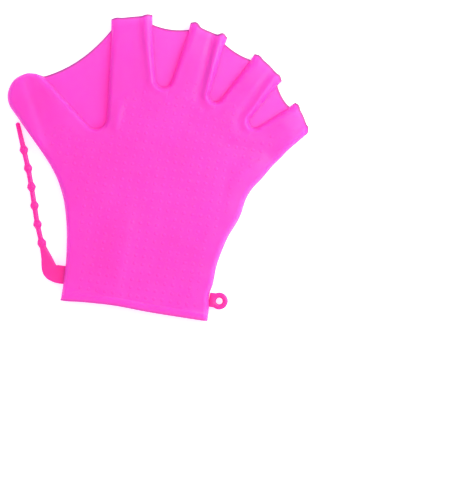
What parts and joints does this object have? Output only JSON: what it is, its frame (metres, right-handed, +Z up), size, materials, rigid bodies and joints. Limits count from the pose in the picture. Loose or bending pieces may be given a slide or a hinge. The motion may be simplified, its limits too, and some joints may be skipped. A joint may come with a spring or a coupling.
{
  "type": "webbed swim glove",
  "caption": "Left silicone swim glove lying palm up, with a closed thumb, open finger tubes joined by webs, a beaded wrist strap and its eyelet.",
  "frame": {"origin": "on the surface the glove lies on, below the middle of its bounding box", "axes": "+Z up out of the palm side, +X along the cuff's edge from the thumb side to the little finger's side, +Y from the cuff to the finger ends"},
  "size_m": [0.197, 0.1924, 0.013],
  "materials": {
    "pink_silicone": "soft satin translucent silicone",
    "strap_silicone": "soft satin silicone",
    "eyelet_silicone": "soft satin silicone"
  },
  "bodies": {
    "root": {"glove_shell": "pink_silicone", "wrist_strap": "strap_silicone", "strap_eyelet": "eyelet_silicone"}
  },
  "joints": []
}
